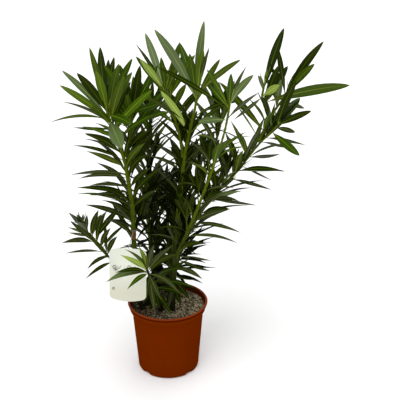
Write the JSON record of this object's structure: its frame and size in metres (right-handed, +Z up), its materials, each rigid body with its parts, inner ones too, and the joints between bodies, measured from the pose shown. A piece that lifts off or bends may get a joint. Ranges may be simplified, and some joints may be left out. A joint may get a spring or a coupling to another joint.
{
  "type": "potted oleander shrub",
  "caption": "Bushy oleander shrub with leaning stems and whorls of long narrow leaves, standing in a tapered round nursery pot of compost, with a blank care label.",
  "frame": {"origin": "centre of the pot's flat underside, on the surface that it stands on", "axes": "+Z up along the pot's axis, -Y towards the front of the plant, +X to its right, where the tall stems lean"},
  "size_m": [0.6245, 0.4481, 0.8372],
  "materials": {
    "terracotta_plastic": "moulded, semi-matt",
    "compost": "crumbly, dry on top",
    "bark": "smooth green bark with leaf scars",
    "leaf": "leathery, slightly glossy",
    "label": "printed card, satin",
    "strap": "translucent, satin"
  },
  "bodies": {
    "root": {"pot": "terracotta_plastic", "compost": "compost", "left_stem": "bark", "left_front_bough": "bark", "left_back_bough": "bark", "middle_stem": "bark", "middle_side_bough": "bark", "front_stem": "bark", "right_stem": "bark", "right_top_bough": "bark", "right_inner_bough": "bark", "low_left_shoot": "bark", "low_front_shoot": "bark", "back_left_stem": "bark", "back_right_stem": "bark", "back_low_shoot": "bark", "label_strap": "strap", "care_label": "label", "left_front_tuft": "leaf", "left_back_tuft": "leaf", "middle_tuft": "leaf", "middle_side_tuft": "leaf", "front_tuft": "leaf", "right_top_tuft": "leaf", "right_inner_tuft": "leaf", "right_node_tuft": "leaf", "low_left_tuft": "leaf", "low_front_tuft": "leaf", "back_left_tuft": "leaf", "back_right_tuft": "leaf", "back_low_tuft": "leaf", "left_fork_leaves": "leaf", "left_upper_leaves": "leaf", "left_lower_leaves": "leaf", "low_left_leaves": "leaf", "middle_upper_leaves": "leaf", "front_upper_leaves": "leaf", "right_upper_leaves": "leaf", "right_lower_leaves": "leaf", "front_centre_leaves": "leaf", "front_lower_leaves": "leaf", "middle_centre_leaves": "leaf", "middle_lower_leaves": "leaf", "back_left_leaves": "leaf", "back_right_leaves": "leaf"}
  },
  "joints": []
}
